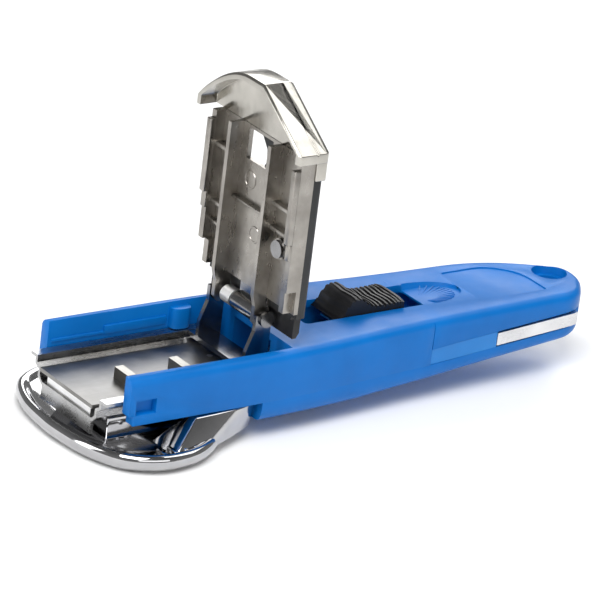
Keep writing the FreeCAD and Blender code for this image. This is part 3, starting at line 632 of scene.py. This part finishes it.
# Hinge at the foot of the cover: a folded steel bracket with two round-topped ears,
# a headed pin through them, a rolled sleeve on the cover and a wound spring.
hinge_steel = drawn_metal(
    "hinge_steel", (0.20, 0.20, 0.20), (0.34, 0.34, 0.35), 0.14, 0.28, (1, 1, 0.1), 0.5, 0.003)
for node in ("hinge_bracket", "bracket_side_tabs", "hinge_pin", "hinge_sleeve"):
    dress_node(node, hinge_steel, 0.15 * MM)
spring_low, spring_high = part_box("hinge_spring")


def wound_spring(bm):
    """A round wire wound in even turns about the pin."""
    wire, turns, sides, steps = 0.42 * MM, 6, 8, 24
    centre_x, centre_z = (spring_low.x + spring_high.x) / 2, (spring_low.z + spring_high.z) / 2
    coil = (spring_high.x - spring_low.x) / 2 - wire
    start, finish = spring_low.y + wire, spring_high.y - wire
    rings = []
    for i in range(turns * steps + 1):
        turn = 2 * math.pi * i / steps
        y = start + (finish - start) * i / (turns * steps)
        out = Vector((math.cos(turn), 0, math.sin(turn)))
        centre = Vector((centre_x, y, centre_z)) + out * coil
        rings.append([centre + out * wire * math.cos(a) + Vector((0, wire * math.sin(a), 0))
                      for a in (2 * math.pi * k / sides for k in range(sides))])
    loft(bm, rings)


spring = add_mesh("wound_spring", wound_spring, "grip")
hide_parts("hinge_spring")
dress(spring, bright_steel)

# Flip-up cover: a nickel-plated die casting with a web, two long ribs and stepped side walls.
# It turns on the hinge pin; cross ribs, wall steps and ejector marks are part of the casting.


def cast_metal(name, dark, light, rough_low, rough_high, depth):
    """Plated die casting: cloudy flow marks, fine pits and scuffs in the gloss."""
    material, nodes, links, shader, place = new_material(name)
    cloud = speckle(nodes, links, place, 7, 5)
    links.new(tint(nodes, links, spread(nodes, links, cloud, 0, 1), dark, light),
              shader.inputs["Base Color"])
    shader.inputs["Metallic"].default_value = 1.0
    scuff = speckle(nodes, links, place, 1.6, 6, (1, 1, 0.3))
    links.new(spread(nodes, links, scuff, rough_low, rough_high), shader.inputs["Roughness"])
    relief(nodes, links, shader, speckle(nodes, links, place, 0.5, 4), depth, 0.8)
    return material


nickel = cast_metal("satin_nickel", (0.25, 0.235, 0.215), (0.41, 0.39, 0.36), 0.24, 0.40, 0.02)
dress_node("cover_frame", nickel, 0.22 * MM)
cover_low, cover_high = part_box("cover_frame")
hinge = Vector(frame["record"]["behaviour"]["joints"][0]["pos_m"])
web_face = hinge.x + 0.3 * MM


def ring_mark(bm, y, z, radius, proud):
    """A round ejector mark that stands a little proud of the web."""
    profile = ((radius, 0.1), (radius - 0.12 * MM, -1.0), (radius - 0.5 * MM, -1.0),
               (radius - 0.6 * MM, -0.3))
    loops = []
    for reach, level in profile:
        x = web_face + level * proud
        loops.append([Vector((x, y + reach * math.cos(a), z + reach * math.sin(a)))
                      for a in (2 * math.pi * k / 40 for k in range(40))])
    loft(bm, loops)


def cover_marks(bm):
    proud = 0.2 * MM
    ring_mark(bm, 2.9 * MM, cover_high.z - 13.4 * MM, 2.4 * MM, proud)
    ring_mark(bm, -1.2 * MM, cover_low.z + 21 * MM, 2.2 * MM, proud)
    ring_mark(bm, 12.2 * MM, cover_high.z - 14 * MM, 1.6 * MM, proud)


def cover_cross_ribs(bm):
    """Low cross ribs and wall steps between the long ribs and the side walls."""
    far_wall, near_wall, rib = 15.7 * MM, 18.8 * MM, 9.0 * MM
    root, thick = web_face + 0.1 * MM, 1.1 * MM
    for z, deep in ((cover_high.z - 9 * MM, 2.4), (cover_high.z - 24 * MM, 1.8),
                    (cover_low.z + 18 * MM, 1.5)):
        block(bm, (web_face - deep * MM, rib, z), (root, far_wall, z + thick))
    for z, deep in ((cover_high.z - 15 * MM, 1.8), (cover_low.z + 26 * MM, 1.8)):
        block(bm, (web_face - deep * MM, -near_wall, z), (root, -rib, z + thick))
    block(bm, (web_face - 1.4 * MM, -7.7 * MM, cover_high.z - 19.6 * MM),
          (root, 7.7 * MM, cover_high.z - 18.9 * MM))
    step_back = hinge.x - 2.5 * MM
    for low, high in ((-20.6 * MM, -18.7 * MM), (15.5 * MM, 17.4 * MM)):
        block(bm, (hinge.x - 4.0 * MM, low, cover_high.z - 21 * MM),
              (step_back, high, cover_high.z - 2 * MM))
        block(bm, (hinge.x - 3.2 * MM, low, cover_low.z + 22 * MM),
              (step_back, high, cover_high.z - 20.9 * MM))


for name, build, edge in (("cover_ejector_marks", cover_marks, 0),
                          ("cover_cross_ribs", cover_cross_ribs, 0.2)):
    piece = add_mesh(name, build, "cover")
    if edge:
        soften(piece, edge * MM)
    dress(piece, nickel)

# Gable nose on the cover's free end: a polished and plated shell with a flat near side, a curved
# far side and a fine groove, and a skirt that goes down over the top corner of the plate.
nose_low, nose_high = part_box("cover_nose")
eave = cover_high.z + 0.05 * MM


def nose_profile(inward):
    """Near side flat, a narrow ridge, and a far side that curves down to the eave."""
    half, base, top = nose_high.y - inward, eave, nose_high.z - inward
    lip = 2.4 * MM
    line = [Vector((-half, base)), Vector((half, base)), Vector((half, base + lip))]
    for k in range(1, 12):
        t = k / 11
        y = half * (1 - t) + 1.5 * MM * t
        line.append(Vector((y, base + lip + (top - base - lip) * math.sin(t * math.pi / 2) ** 0.9)))
    line += [Vector((-4.2 * MM, top)), Vector((-half, base + lip))]
    return line


def nose_shell(bm):
    stations = ((nose_low.x, 0.5), (nose_low.x + 0.5 * MM, 0.0), (nose_high.x - 1.4 * MM, 0.0),
                (nose_high.x - 0.4 * MM, 0.5), (nose_high.x, 1.3))
    loft(bm, [[Vector((x, p.x, p.y)) for p in nose_profile(shrink * MM)] for x, shrink in stations])


nose = add_mesh("plated_nose", nose_shell, None)


def nose_hollow(bm):
    wall, open_below = 1.8 * MM, 1.0 * MM
    line = [Vector((p.x, p.y - (open_below if i < 2 else 0)))
            for i, p in enumerate(nose_profile(wall))]
    loft(bm, [[Vector((x, p.x, p.y)) for p in line] for x in (nose_low.x - 2 * MM, web_face)])


def nose_groove(bm):
    """The groove runs down the flat near side, parallel to its front edge."""
    x, width, depth = nose_low.x + 5.2 * MM, 0.4 * MM, 0.3 * MM
    start = Vector((0, -nose_high.y, eave + 2.4 * MM))
    finish = Vector((0, -4.2 * MM, nose_high.z))
    slope = (finish - start).normalized()
    out = Vector((0, slope.z, -slope.y)) * -1
    corners = []
    for a in (start - slope * 2 * MM, finish - slope * 0.2 * MM):
        corners.append([a + out * d + Vector((dx, 0, 0)) for d, dx in
                        ((-depth, x), (-depth, x + width), (1 * MM, x + width), (1 * MM, x))])
    loft(bm, corners)


for cutter in (nose_hollow, nose_groove):
    carve(nose, add_mesh("cutter", cutter, None))
soften(nose, 0.3 * MM, segments=3, angle=28)
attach(nose, "cover")
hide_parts("cover_nose")
plated_nose = cast_metal(
    "satin_plated_nose", (0.40, 0.385, 0.35), (0.52, 0.50, 0.46), 0.16, 0.27, 0.006)
dress(nose, plated_nose)


def nose_skirt(bm):
    """The plated skirt under the near eave, which covers the top corner of the plate."""
    block(bm, (web_face + 1.25 * MM, -21.1 * MM, nose_low.z),
          (nose_high.x, -16.5 * MM, eave + 0.6 * MM))


skirt = add_mesh("nose_skirt", nose_skirt, "cover")
soften(skirt, 0.35 * MM, segments=3)
dress(skirt, plated_nose)

# Dark plastic plate on the outer side of the casting, held by one screw, and the black plastic
# end cap that closes the cover over the hinge.
charcoal = moulded_plastic(
    "charcoal_plastic", (0.014, 0.015, 0.016), (0.024, 0.025, 0.027), 0.38, 0.52, 0.014, 0.4)
dress_node("cover_plate", charcoal)
dress_node("plate_screw", hinge_steel, 0.2 * MM)
dress_node("cover_end_cap", black_plastic, 0.6 * MM)

# Guard foot: a wide shallow shoe, pressed, polished and chrome plated, with a rolled rim.
# A raised seat takes the two screws from the channel; the ears and grip ribs are pressed with it.
foot_low, foot_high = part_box("guard_foot")
foot_front = foot_low.x
half_foot = foot_high.y
foot_centre = Vector((foot_front + 24 * MM, 0))


def smooth_outline(points, steps=8):
    """A closed smooth curve through the points."""
    loop = []
    count = len(points)
    for i in range(count):
        a, b, c, d = (Vector(points[(i + k) % count]) for k in (-1, 0, 1, 2))
        for k in range(steps):
            t = k / steps
            loop.append(0.5 * (2 * b + (c - a) * t + (2 * a - 5 * b + 4 * c - d) * t * t
                               + (3 * b - a - 3 * c + d) * t ** 3))
    return loop


foot_half = [(0.25, -4), (1.8, -14.2), (6.2, -23.4), (13.5, -28.1), (21, -28.8), (29, -26.6),
             (38, -20.2), (46, -13.8), (51.4, -8.6)]
foot_points = [(foot_front + x * MM, y * MM) for x, y in foot_half]
foot_points += [(x, -y) for x, y in reversed(foot_points)]
foot_line = smooth_outline(foot_points)


def foot_shoe(bm):
    """The rim's section in millimetres inwards and up, run round the outline."""
    profile = ((5.0, 0.0), (2.6, 0.15), (1.2, 0.8), (0.35, 1.8), (0.0, 3.0), (0.15, 4.0),
               (0.7, 4.75), (1.4, 4.95), (2.1, 4.7), (2.9, 3.9), (4.0, 3.3), (8.0, 2.9))
    full_reach = 27
    loft(bm, [[Vector((*foot_centre.lerp(p, 1 - inward / full_reach), z * MM)) for p in foot_line]
              for inward, z in profile])


foot = add_mesh("chrome_foot", foot_shoe, None, sharp=60)
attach(foot, "grip")
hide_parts("guard_foot")


def foot_seat(bm):
    """The raised seat that the channel is screwed to, and a faceted ear each side under the handle."""
    half = 11 * MM
    block(bm, (foot_front + 10 * MM, -half, 2.6 * MM), (belly_low.x - 0.6 * MM, half, 8.5 * MM))
    for side in (-1, 1):
        base = [(20, 26.0), (31, 24.8), (41, 20.2), (47.6, 16.8), (47.6, 13.6), (20, 15.5)]
        crest = [(29, 20.4), (35, 20.2), (41, 19.8), (47.6, 18.4), (47.6, 17.0), (29, 17.2)]
        low = [Vector((foot_front + x * MM, side * y * MM, 2.7 * MM)) for x, y in base]
        high = [Vector((foot_front + x * MM, side * y * MM, 9.6 * MM)) for x, y in crest]
        loft(bm, [low, high])


def foot_grip_ribs(bm):
    """Short ribs across the shoulders of the shoe; they draw in with its outline."""
    pitch, length = 3.1, 4.2
    for side in (-1, 1):
        for i in range(6):
            x = foot_front + (17 + pitch * i) * MM
            reach = 26.2 - 0.045 * (i * pitch) ** 1.55
            low, high = sorted((side * (reach - length) * MM, side * reach * MM))
            block(bm, (x, low, 2.6 * MM), (x + 1.1 * MM, high, 4.3 * MM))


seat = add_mesh("foot_seat_and_ears", foot_seat, "grip")
soften(seat, 0.4 * MM)
grip_ribs = add_mesh("foot_grip_ribs", foot_grip_ribs, "grip")
soften(grip_ribs, 0.3 * MM)
mirror_chrome = cast_metal(
    "mirror_chrome", (0.44, 0.44, 0.45), (0.54, 0.54, 0.55), 0.05, 0.11, 0.002)
for piece in (foot, seat, grip_ribs):
    dress(piece, mirror_chrome)

# Plated steel screws with plain heads: two hold the foot and channel together, and three
# close the handle from below.
for node in ("foot_screws", "shell_screws"):
    dress_node(node, hinge_steel, 0.25 * MM)

# Stage: a plain pale floor, soft lights in a grey surround, and the camera. None of it is part
# of the tool.
floor = add_mesh("studio_floor", lambda bm: loft(bm, [
    [Vector((x * 3, y * 3, z)) for x, y in ((-1, -1), (1, -1), (1, 1), (-1, 1))]
    for z in (-0.02, -0.0001)]), None)
floor_paint, nodes, links, shader, place = new_material("studio_floor_paint")
mottle = speckle(nodes, links, place, 60, 2)
links.new(tint(nodes, links, mottle, (0.93, 0.93, 0.93), (0.95, 0.95, 0.95)),
          shader.inputs["Base Color"])
shader.inputs["Roughness"].default_value = 0.75
dress(floor, floor_paint)

scene = bpy.context.scene
world = bpy.data.worlds.new("studio")
scene.world = world
world.use_nodes = True
sky_nodes, sky_links = world.node_tree.nodes, world.node_tree.links
sky = sky_nodes["Background"]
sky_place = sky_nodes.new("ShaderNodeTexCoord")
split_sky = sky_nodes.new("ShaderNodeSeparateXYZ")
sky_ramp = sky_nodes.new("ShaderNodeValToRGB")
sky_links.new(sky_place.outputs["Generated"], split_sky.inputs["Vector"])
sky_links.new(split_sky.outputs["Z"], sky_ramp.inputs["Fac"])
sky_ramp.color_ramp.elements[0].position = 0.0
sky_ramp.color_ramp.elements[0].color = (0.55, 0.55, 0.55, 1)
sky_ramp.color_ramp.elements[1].position = 1.0
sky_ramp.color_ramp.elements[1].color = (0.22, 0.22, 0.22, 1)
sky_links.new(sky_ramp.outputs["Color"], sky.inputs["Color"])
sky.inputs["Strength"].default_value = 0.5


def soft_box(name, place, aim, size, power):
    """A rectangular lamp at a place, turned to face the aim."""
    light = bpy.data.lights.new(name, "AREA")
    light.shape = "RECTANGLE"
    light.size, light.size_y = size
    light.energy = power
    holder = bpy.data.objects.new(name, light)
    scene.collection.objects.link(holder)
    holder.location = place
    holder.rotation_mode = "QUATERNION"
    holder.rotation_quaternion = (Vector(aim) - Vector(place)).to_track_quat("-Z", "Y")


soft_box("key", (-0.35, -0.30, 0.70), (0, 0, 0.02), (0.5, 0.5), 6.0)
soft_box("left_strip", (-0.75, 0.25, 0.30), (0, 0, 0.03), (0.25, 0.6), 2.2)
soft_box("near_strip", (-0.10, -0.75, 0.35), (0, 0, 0.05), (0.7, 0.3), 1.2)
soft_box("top_panel", (0.42, -0.05, 0.65), (-0.02, 0, 0.07), (0.45, 0.45), 1.6)
soft_box("back_fill", (0.5, 0.55, 0.5), (0, 0, 0.03), (0.6, 0.4), 3.2)

camera_data = bpy.data.cameras.new("camera")
camera = bpy.data.objects.new("camera", camera_data)
scene.collection.objects.link(camera)
scene.camera = camera
azimuth, elevation, roll = math.radians(-37.638), math.radians(22.6), math.radians(7.174)
back = Vector((math.sin(azimuth) * math.cos(elevation), -math.cos(azimuth) * math.cos(elevation),
               math.sin(elevation)))
side = Vector((math.cos(azimuth), math.sin(azimuth), 0))
rise = back.cross(side)
right = side * math.cos(roll) + rise * math.sin(roll)
up = rise * math.cos(roll) - side * math.sin(roll)
camera.rotation_mode = "QUATERNION"
camera.rotation_quaternion = Matrix((right, up, back)).transposed().to_quaternion()
camera.location = Vector((-0.68715, -0.88226, 0.48937))
camera_data.sensor_width = 36
camera_data.lens = 295.72
camera_data.clip_start, camera_data.clip_end = 0.05, 20
scene.view_settings.view_transform = "Standard"
